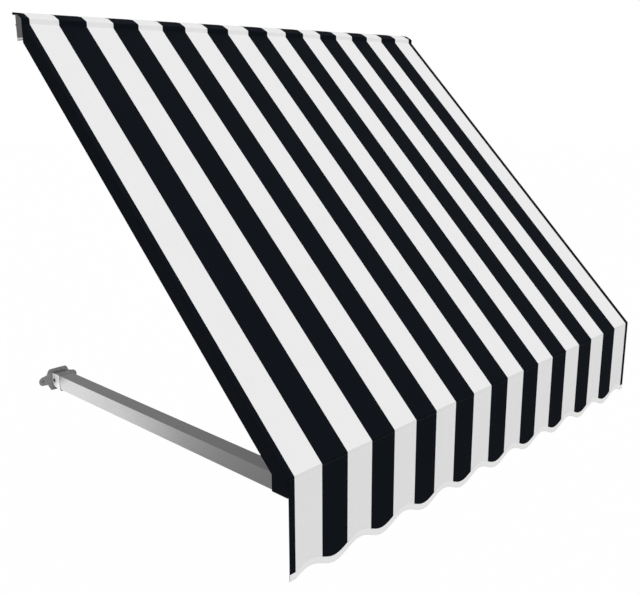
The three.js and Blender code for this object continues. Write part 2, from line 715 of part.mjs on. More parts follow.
// A thin sheet as one closed body: outer face given, inner face moved in by the thickness
function sheet(points, triangles, thickness) {
  const p = points.map((q) => new THREE.Vector3(...q));
  const normals = points.map(() => []);
  const edges = new Map();
  const n = new THREE.Vector3();
  for (const [a, b, c] of triangles) {
    n.subVectors(p[b], p[a]).cross(new THREE.Vector3().subVectors(p[c], p[a])).normalize();
    for (const v of [a, b, c]) {
      if (!normals[v].some((m) => m.dot(n) > 0.9999)) normals[v].push(n.clone());
    }
    for (const [u, v] of [[a, b], [b, c], [c, a]]) {
      const back = `${v}_${u}`;
      if (edges.has(back)) edges.delete(back);
      else edges.set(`${u}_${v}`, [u, v]);
    }
  }
  const inner = p.map((q, i) => q.clone().addScaledVector(mitre(normals[i]), -thickness));
  const out = [];
  for (const [a, b, c] of triangles) {
    out.push([p[a], p[b], p[c]]);
    out.push([inner[a], inner[c], inner[b]]);
  }
  for (const [u, v] of edges.values()) {
    out.push([p[u], inner[u], inner[v]]);
    out.push([p[u], inner[v], p[v]]);
  }
  const geometry = new THREE.BufferGeometry();
  geometry.setAttribute('position', new THREE.BufferAttribute(
    new Float32Array(out.flat().flatMap((q) => [q.x, q.y, q.z])), 3));
  geometry.computeVertexNormals();
  return geometry;
}

// The vector that moves one unit away from every face that meets at a corner
function mitre(faces) {
  if (faces.length === 1) return faces[0].clone();
  if (faces.length === 2) {
    const sum = faces[0].clone().add(faces[1]);
    return sum.multiplyScalar(1 / (1 + faces[0].dot(faces[1])));
  }
  const [a, b, c] = faces;
  const det = a.dot(new THREE.Vector3().crossVectors(b, c));
  return new THREE.Vector3().crossVectors(b, c)
    .add(new THREE.Vector3().crossVectors(c, a)).add(new THREE.Vector3().crossVectors(a, b))
    .multiplyScalar(1 / det);
}

// X places of the stripe edges, from the left edge of the awning to the right one
function stripeEdges() {
  const edges = [-half_width];
  for (let x = -half_width + edge_stripe; x < half_width - 1; x += stripe_width) edges.push(x);
  edges.push(half_width);
  return edges;
}

function stripeColour(x) {
  const first = -half_width + edge_stripe;
  const index = Math.floor((x - first) / stripe_width);
  return Math.abs(index) % 2 === 0 && index >= 0 && x < half_width - edge_stripe ? cloth_white : cloth_black;
}

function paintStripes(geometry) {
  const p = geometry.attributes.position;
  const colours = new Float32Array(p.count * 3);
  for (let i = 0; i < p.count; i += 3) {
    const middle = (p.getX(i) + p.getX(i + 1) + p.getX(i + 2)) / 3;
    for (let k = 0; k < 3; k++) stripeColour(middle).toArray(colours, (i + k) * 3);
  }
  geometry.setAttribute('color', new THREE.BufferAttribute(colours, 3));
  return geometry;
}

// Cover: one cloth over head, slope and front edge, with its sides folded down round the rafters
function coverGeometry() {
  const loop = arc(keder_y, keder_z, keder_pocket - gap, loop_start_deg, loop_end_deg, loop_steps);
  const front = [...loop, [fold_y + skin, keder_z - cloth / 2]];
  const line = [...front, slopeAtY(0, fold_y + skin), ...head_line];
  const xs = stripeEdges();
  const fold_row = front.length;
  const points = line.flatMap(([y, z], row) => xs.map((x) =>
    [row < fold_row ? THREE.MathUtils.clamp(x, -bar_reach, bar_reach) : x, y, z]));
  const triangles = gridTriangles(line.length, xs.length);
  return { points, triangles, rows: line.length, columns: xs.length, fold_row };
}

// Side of the cover: a flat wing with the outline of the rafter, the bar's end and the head
function addWing(cover, side) {
  const { points, triangles, rows, columns, fold_row } = cover;
  const column = side > 0 ? columns - 1 : 0;
  const x = side * half_width;
  const top_ids = Array.from({ length: rows - fold_row }, (_, i) => (fold_row + i) * columns + column);
  const lower = [
    [-cap_rear_gap - skin - cap_wall - gap, lip_foot[1]],
    [rail_back + gap, rail_top + cap_wall],
    [rail_slope_start, rail_top + cap_wall / 2],
    [rail_front - gap, rail_top - rail_slope_drop + gap],
    slopeAtY(wing_depth, rail_front - gap),
    slopeAtY(wing_depth, fold_y + corner_flap_depth),
    [fold_y + corner_flap_depth, fold_z - corner_flap_drop],
    [fold_y + skin, fold_z - corner_flap_drop],
  ];
  const lower_ids = lower.map(([y, z]) => points.push([x, y, z]) - 1);
  const ring = top_ids.concat(lower_ids);
  const contour = ring.map((id) => new THREE.Vector2(points[id][1], points[id][2]));
  for (const [a, b, c] of THREE.ShapeUtils.triangulateShape(contour, [])) {
    triangles.push(turn(points, ring[a], ring[b], ring[c], side));
  }
  const under = lower_ids.slice(4, 6);
  const inner_x = side * (rafter_in_x - skin);
  const under_inner = under.map((id) => points.push([inner_x, points[id][1], points[id][2]]) - 1);
  const turned_up = under_inner.map((id) => points.push([
    inner_x, points[id][1] - down[0] * wing_turn_up, points[id][2] - down[1] * wing_turn_up]) - 1);
  for (const [near, far] of [[under, under_inner], [under_inner, turned_up]]) {
    const quad = [near[0], near[1], far[1], far[0]];
    const [q0, q1, q2, q3] = side > 0 ? quad : quad.reverse();
    triangles.push([q0, q1, q2], [q0, q2, q3]);
  }
}

// Orders a triangle of the wing so that it faces the given way along X
function turn(points, a, b, c, way) {
  const [, ay, az] = points[a];
  const [, by, bz] = points[b];
  const [, cy, cz] = points[c];
  const facing = (by - ay) * (cz - az) - (bz - az) * (cy - ay);
  return facing * way > 0 ? [a, b, c] : [a, c, b];
}

// Height of the valance's lower edge below the fold, a wave that hangs lowest on the dark stripes
function scallopDrop(x) {
  const from_first = x + half_width - edge_stripe;
  const last = awning_width - 2 * edge_stripe;
  const inside = from_first > 0 && from_first < last;
  return valance_drop - (inside ? scallop_depth * Math.sin(Math.PI * from_first / stripe_width) : 0);
}

function valanceColumns() {
  const xs = [-half_width];
  for (const edge of stripeEdges().slice(1)) {
    const last = xs[xs.length - 1];
    const steps = edge - last > stripe_width / 2 ? scallop_steps : 1;
    for (let i = 1; i <= steps; i++) xs.push(last + (edge - last) * i / steps);
  }
  return xs;
}

// A grid of rows of points, one row per line, as triangles facing the row order
function gridTriangles(rows, columns) {
  const triangles = [];
  for (let r = 0; r < rows - 1; r++) {
    for (let c = 0; c < columns - 1; c++) {
      const a = r * columns + c;
      triangles.push([a, a + 1, a + columns + 1], [a, a + columns + 1, a + columns]);
    }
  }
  return triangles;
}

const hem_inside = binding_tape + 2 * gap;

function valanceGeometry() {
  const xs = valanceColumns();
  const lower = xs.map((x) => [x, fold_y, fold_z - scallopDrop(x) + hem_inside]);
  const upper = xs.map((x) => [x, fold_y, fold_z]);
  return paintStripes(sheet([...lower, ...upper], gridTriangles(2, xs.length), cloth));
}

// Binding: a white tape folded round the scalloped edge
function bindingGeometry() {
  const xs = valanceColumns();
  const front_y = fold_y - gap - binding_tape;
  const back_y = fold_y + cloth + gap + binding_tape;
  const line = (y, up) => xs.map((x) => [x, y, fold_z - scallopDrop(x) + up]);
  const rows = [line(back_y, binding_width), line(back_y, 0), line(front_y, 0), line(front_y, binding_width)];
  return sheet(rows.flat(), gridTriangles(rows.length, xs.length), binding_tape);
}

// Put the pieces together
addPiece('header_rail', railGeometry(), mill_aluminium);
bracket_xs.forEach((x, i) => {
  addPiece(`header_bracket_${bracket_names[i]}`, railBracketGeometry(x), mill_aluminium);
  addPiece(`header_lock_screw_${bracket_names[i]}`,
    screwGeometry(lock_screw_radius, lock_screw_grip, pin_head_radius, pin_head_height),
    zinc, [x, lock_y, rail_bottom - gap * 2 - bracket_shelf], [Math.PI, 0, 0]);
});
addPiece('head_cap', headCapGeometry(), mill_aluminium);
cap_screw_xs.forEach((x, i) => {
  addPiece(`head_cap_screw_${i + 1}`,
    countersunkGeometry(screw_radius, screw_length, screw_head_radius, screw_head_height),
    zinc, [x, cap_screw_y, roof_top_z], [chamfer, 0, 0]);
});
addPiece('front_bar', frontBarGeometry(), mill_aluminium);
addPiece('cover_keder', rodX(keder_radius, -bar_reach, bar_reach, keder_y, keder_z), keder_plastic);

for (const [name, side] of [['left', -1], ['right', 1]]) {
  const x = side * arm_x;
  addPiece(`header_end_cap_${name}`, endCapGeometry(side), grey_plastic);
  addPiece(`rafter_${name}`, rafterGeometry(side), mill_aluminium);
  addPiece(`rafter_foot_${name}`, rafterFootGeometry(side), cast_grey);
  addPiece(`rafter_angle_${name}`, angleGeometry(side), mill_aluminium);
  addPiece(`angle_rail_screw_${name}`,
    screwGeometry(screw_radius, screw_length, screw_head_radius, screw_head_height),
    zinc, [side * angle_screw_x, rail_front - 2 * gap - angle_thickness, angle_z], [Math.PI / 2, 0, 0]);
  addPiece(`angle_rafter_screw_${name}`,
    screwGeometry(screw_radius, screw_length, screw_head_radius, screw_head_height),
    zinc, [side * (rafter_in_x - 2 * gap - angle_thickness), angle_screw_y, angle_z], [0, -side * Math.PI / 2, 0]);
  addPiece(`front_bar_cap_${name}`, barCapGeometry(side), grey_plastic);
  addPiece(`front_lug_${name}`, lugGeometry(side), cast_grey);
  lugScrewSpots().filter(([sx]) => sx === x).forEach(([sx, sz], i) => {
    addPiece(`lug_screw_${name}_${i + 1}`,
      screwGeometry(screw_radius, screw_length, screw_head_radius, screw_head_height),
      zinc, [sx, bar_back + 2 * gap + lug_plate, sz], [-Math.PI / 2, 0, 0]);
  });
  addPiece(`arm_${name}`, armGeometry(side), mill_aluminium);
  addPiece(`arm_fork_${name}`, forkGeometry(side), mill_aluminium);
  addPiece(`arm_collar_${name}`, collarGeometry(side), black_rubber);
  addPiece(`fork_set_screw_${name}`,
    screwGeometry(screw_radius, arm_wall + fork_wall + 2 * gap, set_screw_head_radius, set_screw_head_height),
    black_steel, [x, seam_y - set_screw_reach, arm_z - arm_size / 2 - gap], [Math.PI, 0, 0]);
  addPiece(`wall_bracket_${name}`, wallBracketGeometry(side), cast_grey);
  addPiece(`wall_pad_${name}`, wallPadGeometry(side), black_rubber);
  for (const [end, y] of [['front', front_pin_y], ['wall', wall_pin_y]]) {
    addPiece(`${end}_pivot_bolt_${name}`, pivotBoltGeometry(side, y), black_steel);
    addPiece(`${end}_pivot_nut_${name}`, nutGeometry(holeRadius(pin_radius), nut_radius, nut_height), black_steel,
      [side > 0 ? x - arm_size / 2 - gap - nut_height : x + arm_size / 2 + gap, y, arm_z]);
  }
}

const cover = coverGeometry();
addWing(cover, -1);
addWing(cover, 1);
addPiece('cover', paintStripes(sheet(cover.points, cover.triangles, cloth)), striped_cloth);
addPiece('valance', valanceGeometry(), striped_cloth);
addPiece('valance_binding', bindingGeometry(), binding_white);

export default awning;
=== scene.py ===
import math

import bmesh
import bpy
from mathutils import Euler, Matrix, Vector


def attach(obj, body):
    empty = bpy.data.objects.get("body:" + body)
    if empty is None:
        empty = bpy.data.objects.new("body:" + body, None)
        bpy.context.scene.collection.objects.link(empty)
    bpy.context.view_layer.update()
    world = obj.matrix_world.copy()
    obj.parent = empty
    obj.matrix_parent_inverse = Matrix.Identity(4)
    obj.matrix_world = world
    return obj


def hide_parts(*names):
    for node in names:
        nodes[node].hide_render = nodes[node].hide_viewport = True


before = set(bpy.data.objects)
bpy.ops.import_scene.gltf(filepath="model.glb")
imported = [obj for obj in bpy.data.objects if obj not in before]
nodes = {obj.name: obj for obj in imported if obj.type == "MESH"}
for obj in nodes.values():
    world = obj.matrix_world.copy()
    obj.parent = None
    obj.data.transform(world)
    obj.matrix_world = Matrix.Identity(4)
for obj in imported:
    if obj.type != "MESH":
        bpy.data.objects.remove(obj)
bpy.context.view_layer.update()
scene = bpy.context.scene
scene.view_settings.view_transform = "Standard"

# Sizes in metres, as in the part's source
AWNING_WIDTH = 1.943
PROJECTION = 1.220
SLOPE = math.radians(44.6)
HALF = AWNING_WIDTH / 2
GAP = 0.0003
CLOTH = 0.0008
SKIN = CLOTH + GAP
STRIPE = 0.100
STRIPES = 19
STRIPED_HALF = STRIPES / 2 * STRIPE
EDGE_STRIPE = (AWNING_WIDTH - STRIPES * STRIPE) / 2
VALANCE_DROP = 0.289
SCALLOP_DEPTH = 0.015
BINDING_WIDTH = 0.020
BINDING_TAPE = 0.0005
WING_DEPTH = 0.0475
WING_TURN_UP = 0.012
CORNER_FLAP_DEPTH = 0.061
CORNER_FLAP_DROP = 0.0535
RAIL_STAND_OFF = 0.017
RAIL_DEPTH = 0.037
RAIL_HEIGHT = 0.0727
RAIL_SLOPE_FLAT = 0.010
RAIL_SLOPE_DROP = 0.0129
RAIL_BACK = -RAIL_STAND_OFF
RAIL_FRONT = RAIL_BACK - RAIL_DEPTH
RAIL_TOP = RAIL_HEIGHT / 2
RAIL_SLOPE_START = RAIL_BACK - RAIL_SLOPE_FLAT
CAP_WALL = 0.0022
CAP_REAR_GAP = 0.0005
CAP_LIP_DROP = 0.006
FACE_STEP = 0.011
FACE_Y = RAIL_FRONT - FACE_STEP
NOSE_BOTTOM = 0.006
NOSE_HEIGHT = 0.017
NOSE_TOP = NOSE_BOTTOM + NOSE_HEIGHT
NOSE_FOLD = 0.0034
CHAMFER_DEPTH = 0.032
CHAMFER = math.radians(26.6)
CAP_TOP_RISE = 0.004
RAFTER_WIDTH = 0.018
FOLD_Y = -PROJECTION
FOLD_Z = NOSE_BOTTOM - (FACE_Y - FOLD_Y) * math.tan(SLOPE)
BAR_FRONT = FOLD_Y + 2 * SKIN
BAR_TOP = FOLD_Z - GAP
KEDER_RADIUS = 0.0025
KEDER_LIP = 0.002
KEDER_DROP = 0.013
KEDER_POCKET = KEDER_RADIUS + 2 * GAP + CLOTH
KEDER_Y = BAR_FRONT + KEDER_POCKET + KEDER_LIP
KEDER_Z = BAR_TOP - KEDER_DROP
END_CAP_THICKNESS = 0.0025
BAR_REACH = HALF - SKIN - END_CAP_THICKNESS - GAP
TAPE_FRONT = FOLD_Y - GAP - BINDING_TAPE
TAPE_BACK = FOLD_Y + CLOTH + GAP + BINDING_TAPE
DOWN = (math.sin(SLOPE), -math.cos(SLOPE))
SEAM_INSET = 0.006
SEAM_END = 0.004
TAPE_SEAM_INSET = 0.0035
STITCH_PITCH = 0.0042
STITCH_LENGTH = 0.0034
TAPE_STITCH_PITCH = 0.0038
TAPE_STITCH_LENGTH = 0.003
THREAD_RADIUS = 0.0002
HEM_THREAD_RADIUS = 0.00022
CLEAR_THREAD_RADIUS = 0.00014
SMALL_SCREW = {"Head Radius": 0.0042, "Head Height": 0.0024, "Shank Radius": 0.0021}
LOCK_SCREW = {"Head Radius": 0.0055, "Head Height": 0.003, "Shank Radius": 0.003}
SET_SCREW = {"Head Radius": 0.0055, "Head Height": 0.0035, "Shank Radius": 0.0021}
PIVOT_BOLT = {"Head Radius": 0.0055, "Head Height": 0.003, "Shank Radius": 0.004}
PIVOT_NUT = {"Bore Radius": 0.0043, "Corner Radius": 0.0065}
KEY_SHARE = 0.5
HEAD_CAP_SCREWS = 5
PALE_LIP_FROM = 0.0022
PALE_LIP_TO = 0.008
EDGE_EASE = 0.0006
ARM_EASE = 0.0012
PLATE_EASE = 0.001
LUG_EASE = 0.0008
CAP_EASE = 0.0008
COLLAR_EASE = 0.0005
PAD_EASE = 0.0003
CLOTH_EASE = 0.0012
EDGE_ANGLE = 38
FOLD_ANGLE = 12
MERGE_DISTANCE = 2e-6
VALANCE_STEPS = 12
BINDING_STEPS = 16
SIDES = ("left", "right")

# Camera and light, in metres and degrees
CAMERA_PLACE = (-2.2847, -2.5968, -0.1797)
CAMERA_HEADING = -46.072
CAMERA_TILT = 75.715
CAMERA_ROLL = -0.222
CAMERA_LENS = 46.89
SENSOR_WIDTH = 36.0
FLOOR_HEIGHT = -2.4
FLOOR_WIDTH = 60
FLOOR_GLOW = 0.99
SURROUND_LIGHT = 0.6
LAMP_POWER = 1.26
LAMP_SPREAD = 50
LAMP_WAY = (-0.27, -0.74, 0.616)
WHITE = (1.0, 1.0, 1.0, 1.0)


# Camera at the photograph's viewing angle
def make_camera():
    data = bpy.data.cameras.new("view")
    data.lens = CAMERA_LENS
    data.sensor_width = SENSOR_WIDTH
    data.clip_start = 0.05
    data.clip_end = 100.0
    camera = bpy.data.objects.new("view", data)
    scene.collection.objects.link(camera)
    heading = Matrix.Rotation(math.radians(CAMERA_HEADING), 4, "Z")
    tilt = Matrix.Rotation(math.radians(CAMERA_TILT), 4, "X")
    roll = Matrix.Rotation(math.radians(CAMERA_ROLL), 4, "Z")
    camera.matrix_world = Matrix.Translation(CAMERA_PLACE) @ heading @ tilt @ roll
    scene.camera = camera


# Adds nodes to a tree and feeds their inputs with plain values or with other nodes
class TreeMaker:
    def __init__(self, tree):
        self.tree = tree

    def add(self, kind, options=None, **inputs):
        node = self.tree.nodes.new(kind)
        for key, value in (options or {}).items():
            setattr(node, key, value)
        for key, value in inputs.items():
            self.put(node.inputs[key.replace("_", " ")], value)
        return node

    def put(self, socket, value):
        if isinstance(value, bpy.types.NodeSocket):
            self.tree.links.new(value, socket)
        else:
            socket.default_value = value

    def maths(self, operation, *values):
        node = self.add("ShaderNodeMath", {"operation": operation})
        for socket, value in zip(node.inputs, values):
            self.put(socket, value)
        return node.outputs[0]

    def mix_shaders(self, share, first, second):
        node = self.add("ShaderNodeMixShader", None, Fac=share)
        self.put(node.inputs[1], first)
        self.put(node.inputs[2], second)
        return node.outputs[0]


# A colour at this share of its brightness, no brighter than white
def tinted(tone, share):
    return tuple(min(1.0, c * share) for c in tone) + (1,)


# A material with its patterns, built on one principled shader
class Painter(TreeMaker):
    def __init__(self, name):
        self.material = bpy.data.materials.new(name)
        self.material.use_nodes = True
        super().__init__(self.material.node_tree)
        self.shader = self.tree.nodes["Principled BSDF"]

    # A weighted sum of two patterns
    def blend(self, a, share_a, b, share_b):
        return self.maths("MULTIPLY_ADD", a, share_a, self.maths("MULTIPLY", b, share_b))

    def ramp(self, factor, low, high):
        return self.add("ShaderNodeMapRange", None, Value=factor, To_Min=low, To_Max=high).outputs["Result"]

    def mix(self, factor, a, b):
        node = self.add("ShaderNodeMix", {"data_type": "RGBA"})
        for i, value in ((0, factor), (6, a), (7, b)):
            self.put(node.inputs[i], value)
        return node.outputs[2]

    def noise(self, vector, scale, detail=2.0):
        return self.add("ShaderNodeTexNoise", None, Vector=vector, Scale=scale, Detail=detail).outputs["Fac"]

    def place(self, scale=(1, 1, 1), turn=(0, 0, 0)):
        where = self.add("ShaderNodeTexCoord").outputs["Object"]
        return self.add("ShaderNodeMapping", None, Vector=where, Scale=scale, Rotation=turn).outputs["Vector"]

    def bump(self, height, strength, distance):
        node = self.add("ShaderNodeBump", None, Height=height, Strength=strength, Distance=distance)
        self.link("Normal", node.outputs["Normal"])

    def plain(self, **values):
        for key, value in values.items():
            self.shader.inputs[key.replace("_", " ")].default_value = value

    def link(self, key, socket):
        self.tree.links.new(socket, self.shader.inputs[key])

    # Base colour that wanders between two shares of one tone
    def tones(self, factor, tone, low, high):
        self.link("Base Color", self.mix(factor, tinted(tone, low), tinted(tone, high)))


# Pale floor that glows for the camera and keeps only a trace of its shadows
def floor_material():
    p = Painter("pale_floor")
    p.plain(Base_Color=(0.5, 0.5, 0.5, 1), Roughness=0.9, Specular_IOR_Level=0.0)
    glow = p.add("ShaderNodeEmission", None, Color=WHITE, Strength=1.0)
    seen = p.maths("MULTIPLY", p.add("ShaderNodeLightPath").outputs["Is Camera Ray"], FLOOR_GLOW)
    surface = p.mix_shaders(seen, p.shader.outputs["BSDF"], glow.outputs[0])
    p.put(p.tree.nodes["Material Output"].inputs["Surface"], surface)
    return p.material


# A soft card that shines forward from the plane of the wall
def make_card(name, energy, width, height, place):
    light = bpy.data.lights.new(name, "AREA")
    light.energy = energy
    light.shape = "RECTANGLE"
    light.size = width
    light.size_y = height
    card = bpy.data.objects.new(name, light)
    card.location = place
    card.rotation_euler = Euler((math.radians(-90), 0, 0))
    card.visible_camera = False
    scene.collection.objects.link(card)


# Soft studio light: an even pale surround, a wide lamp above and two soft cards beside the wall
def make_studio():
    world = bpy.data.worlds.new("studio")
    world.use_nodes = True
    scene.world = world
    world.node_tree.nodes.clear()
    sky = TreeMaker(world.node_tree)
    surround = sky.add("ShaderNodeBackground", None, Color=WHITE, Strength=SURROUND_LIGHT)
    backdrop = sky.add("ShaderNodeBackground", None, Color=WHITE, Strength=1.0)
    seen = sky.add("ShaderNodeLightPath").outputs["Is Camera Ray"]
    surface = sky.mix_shaders(seen, surround.outputs[0], backdrop.outputs[0])
    sky.add("ShaderNodeOutputWorld", None, Surface=surface)

    lamp = bpy.data.lights.new("overhead", "SUN")
    lamp.energy = LAMP_POWER
    lamp.angle = math.radians(LAMP_SPREAD)
    overhead = bpy.data.objects.new("overhead", lamp)
    overhead.rotation_euler = Vector(LAMP_WAY).to_track_quat("Z", "Y").to_euler()
    scene.collection.objects.link(overhead)
    make_card("near_card_beside_wall", 2.2, 0.50, 0.62, (-1.19, 0.03, -1.38))
    make_card("far_card_beside_wall", 1.2, 0.95, 1.00, (-1.915, 0.03, -1.75))

    bpy.ops.mesh.primitive_plane_add(size=FLOOR_WIDTH, location=(0, 0, FLOOR_HEIGHT))
    floor = bpy.context.object
    floor.name = "floor"
    floor.data.materials.append(floor_material())


# Extruded aluminium, with fine lines along the way the section runs
def extruded_aluminium(name, line_scale, turn=(0, 0, 0), tone=(0.36, 0.36, 0.364)):
    p = Painter(name)
    p.plain(Metallic=1.0)
    lines = p.noise(p.place(line_scale, turn), 1.0, 3.0)
    cloud = p.noise(p.place(), 9.0, 3.0)
    p.tones(p.blend(lines, 0.55, cloud, 0.45), tone, 0.93, 1.07)
    p.link("Roughness", p.ramp(p.blend(lines, 0.4, cloud, 0.6), 0.34, 0.52))
    p.bump(lines, 0.12, 0.0002)
    return p.material


# Grey coated casting with a fine sandy skin
def grey_casting(name, tone):
    p = Painter(name)
    p.plain(Metallic=0.0)
    where = p.place()
    sand = p.noise(where, 900.0, 3.0)
    cloud = p.noise(where, 14.0, 2.0)
    p.tones(p.blend(sand, 0.4, cloud, 0.6), tone, 0.88, 1.1)
    p.link("Roughness", p.ramp(cloud, 0.5, 0.66))
    p.bump(sand, 0.25, 0.0003)
    return p.material


# Plated or blackened steel with slight colour clouds
def clouded_steel(name, dark, light, smooth, rough):
    p = Painter(name)
    p.plain(Metallic=1.0)
    where = p.place()
    cloud = p.noise(where, 120.0, 4.0)
    p.link("Base Color", p.mix(cloud, tinted(dark, 1), tinted(light, 1)))
    p.link("Roughness", p.ramp(cloud, smooth, rough))
    p.bump(p.noise(where, 700.0), 0.1, 0.0001)
    return p.material


# Pale finish over a faint cast skin: painted light, which makes the side faces of a casting brighter than its
# top
def lit_side_casting(name, tone):
    p = Painter(name)
    p.plain(Metallic=0.2)
    where = p.place()
    skin = p.noise(where, 600.0, 3.0)
    cloud = p.noise(where, 22.0, 2.0)
    p.tones(p.blend(skin, 0.35, cloud, 0.65), tone, 0.93, 1.05)
    p.link("Roughness", p.ramp(cloud, 0.4, 0.52))
    p.bump(skin, 0.15, 0.0002)
    return p.material


# Moulded plastic or rubber with a fine grained skin
def moulded_plastic(name, tone, rough):
    p = Painter(name)
    where = p.place()
    grain = p.noise(where, 1400.0, 2.0)
    cloud = p.noise(where, 130.0, 4.0)
    p.tones(cloud, tone, 0.78, 1.24)
    p.link("Roughness", p.ramp(grain, rough - 0.06, rough + 0.06))
    p.bump(grain, 0.15, 0.0002)
    return p.material


# Woven canvas on the cloth's own UV, in metres; stripes follow the width of the awning
def woven_cloth(name, white, black, thread, striped=True, sheen=0.0):
    p = Painter(name)
    p.plain(Sheen_Weight=sheen, Sheen_Roughness=0.4)
    uv = p.add("ShaderNodeUVMap", {"uv_map": "cloth"}).outputs["UV"]
    parts = p.add("ShaderNodeSeparateXYZ", None, Vector=uv)
    warp = p.maths("SINE", p.maths("MULTIPLY", parts.outputs[0], math.pi / thread))
    weft = p.maths("SINE", p.maths("MULTIPLY", parts.outputs[1], math.pi / thread))
    weave = p.maths("MULTIPLY_ADD", p.maths("MULTIPLY", warp, weft), 0.5, 0.5)
    slub = p.noise(uv, 260.0, 3.0)
    cloud = p.noise(uv, 7.0, 3.0)
    shade = p.blend(cloud, 0.6, slub, 0.4)
    pale = p.mix(shade, tinted(white, 0.965), tinted(white, 1.02))
    if striped:
        stripe_uv = p.add("ShaderNodeUVMap", {"uv_map": "stripe"}).outputs["UV"]
        across = p.add("ShaderNodeSeparateXYZ", None, Vector=stripe_uv).outputs[0]
        turn = p.maths("FLOORED_MODULO", p.maths("ADD", across, STRIPED_HALF / STRIPE), 2.0)
        dark_stripe = p.maths("GREATER_THAN", turn, 1.0)
        edge = p.maths("GREATER_THAN", p.maths("ABSOLUTE", across), STRIPED_HALF / STRIPE)
        night = p.mix(shade, tinted(black, 0.8), tinted(black, 1.25))
        p.link("Base Color", p.mix(p.maths("MAXIMUM", dark_stripe, edge), pale, night))
    else:
        p.link("Base Color", pale)
    p.link("Roughness", p.ramp(slub, 0.82, 0.95))
    p.plain(Specular_IOR_Level=0.06)
    p.bump(p.maths("MULTIPLY_ADD", slub, 0.5, weave), 0.25, 0.0002)
    return p.material


# Sewing thread with a fine strand pattern
def sewing_thread(name, tone):
    p = Painter(name)
    strand = p.noise(p.place(), 1500.0, 2.0)
    p.tones(strand, tone, 0.85, 1.0)
    p.link("Roughness", p.ramp(strand, 0.6, 0.8))
    return p.material


# Every finish by its short name
def make_materials():
    return {
        "along_x": extruded_aluminium("mill_aluminium_along_x", (6, 900, 900)),
        "along_y": extruded_aluminium("mill_aluminium_along_y", (900, 6, 900)),
        "arm": extruded_aluminium("silver_coated_arm_aluminium", (900, 6, 900), tone=(0.272, 0.27, 0.271)),
        "along_slope": extruded_aluminium("mill_aluminium_along_slope", (900, 6, 900), (-SLOPE, 0, 0)),
        "cast": grey_casting("grey_casting", (0.27, 0.27, 0.275)),
        "painted_lit_sides": lit_side_casting("silver_coated_casting", (0.55, 0.55, 0.555)),
        "zinc": clouded_steel("zinc_plated_steel", (0.46, 0.47, 0.5), (0.66, 0.66, 0.64), 0.28, 0.44),
        "black_steel": clouded_steel(
            "blackened_steel", (0.035, 0.036, 0.038), (0.07, 0.07, 0.072), 0.34, 0.5),
        "rubber": moulded_plastic("dark_grey_rubber", (0.16, 0.16, 0.162), 0.7),
        "collar": moulded_plastic("black_rubber", (0.02, 0.02, 0.021), 0.6),
        "plastic": moulded_plastic("grey_moulded_plastic", (0.125, 0.125, 0.128), 0.5),
        "pale_plastic": moulded_plastic("pale_moulded_plastic", (0.8, 0.8, 0.8), 0.45),
        "keder": moulded_plastic("pale_keder_plastic", (0.66, 0.66, 0.63), 0.42),
        "canvas": woven_cloth("striped_canvas", (0.875, 0.875, 0.875), (0.0035, 0.0052, 0.0085), 0.0005),
        "tape": woven_cloth("white_binding_tape", (0.94, 0.94, 0.94), (0, 0, 0), 0.0004, False, 0.5),
        "thread": sewing_thread("white_sewing_thread", (0.82, 0.82, 0.8)),
        "dark_thread": sewing_thread("black_sewing_thread", (0.012, 0.012, 0.014)),
        "clear_thread": sewing_thread("clear_sewing_thread", (0.12, 0.12, 0.12)),
    }


def link_mesh(name, mesh):
    obj = bpy.data.objects.new(name, mesh)
    scene.collection.objects.link(obj)
    return obj


# Rounds the edges of a piece that turn by more than this angle
def round_edges(obj, width, segments, angle):
    bevel = obj.modifiers.new("round_edges", "BEVEL")
    bevel.width = width
    bevel.segments = segments
    bevel.limit_method = "ANGLE"
    bevel.angle_limit = math.radians(angle)
    bevel.use_clamp_overlap = True


# Keeps the shading of flat faces flat beside their rounded edges
def flatten_faces(obj):
    flat = obj.modifiers.new("flat_faces", "WEIGHTED_NORMAL")
    flat.mode = "FACE_AREA"
    flat.weight = 100


def thicken(obj, thickness):
    solid = obj.modifiers.new("thickness", "SOLIDIFY")
    solid.thickness = thickness
    solid.offset = -1.0
    solid.use_even_offset = True


def paint(obj, material):
    obj.data.materials.clear()
    obj.data.materials.append(material)


# A merged copy of a CAD node with its sharp edges eased, which stands for that node
def eased(node, material, body, width=EDGE_EASE, segments=2, split_heights=()):
    mesh = nodes[node].data.copy()
    bm = bmesh.new()
    bm.from_mesh(mesh)
    bmesh.ops.remove_doubles(bm, verts=bm.verts, dist=MERGE_DISTANCE)
    bmesh.ops.dissolve_limit(
        bm, angle_limit=math.radians(0.6), use_dissolve_boundaries=False, verts=bm.verts, edges=bm.edges)
    for height in split_heights:
        whole = list(bm.verts) + list(bm.edges) + list(bm.faces)
        bmesh.ops.bisect_plane(bm, geom=whole, plane_co=(0, 0, height), plane_no=(0, 0, 1))
    for face in bm.faces:
        face.smooth = True
    bm.to_mesh(mesh)
    bm.free()
    obj = link_mesh(node + "_finished", mesh)
    paint(obj, material)
    round_edges(obj, width, segments, EDGE_ANGLE)
    flatten_faces(obj)
    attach(obj, body)
    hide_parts(node)
    return obj


# Gives some faces of a piece a second finish
def coat_faces(obj, material, chosen):
    obj.data.materials.append(material)
    bm = bmesh.new()
    bm.from_mesh(obj.data)
    for face in bm.faces:
        face.material_index = 1 if chosen(face) else 0
    bm.to_mesh(obj.data)
    bm.free()


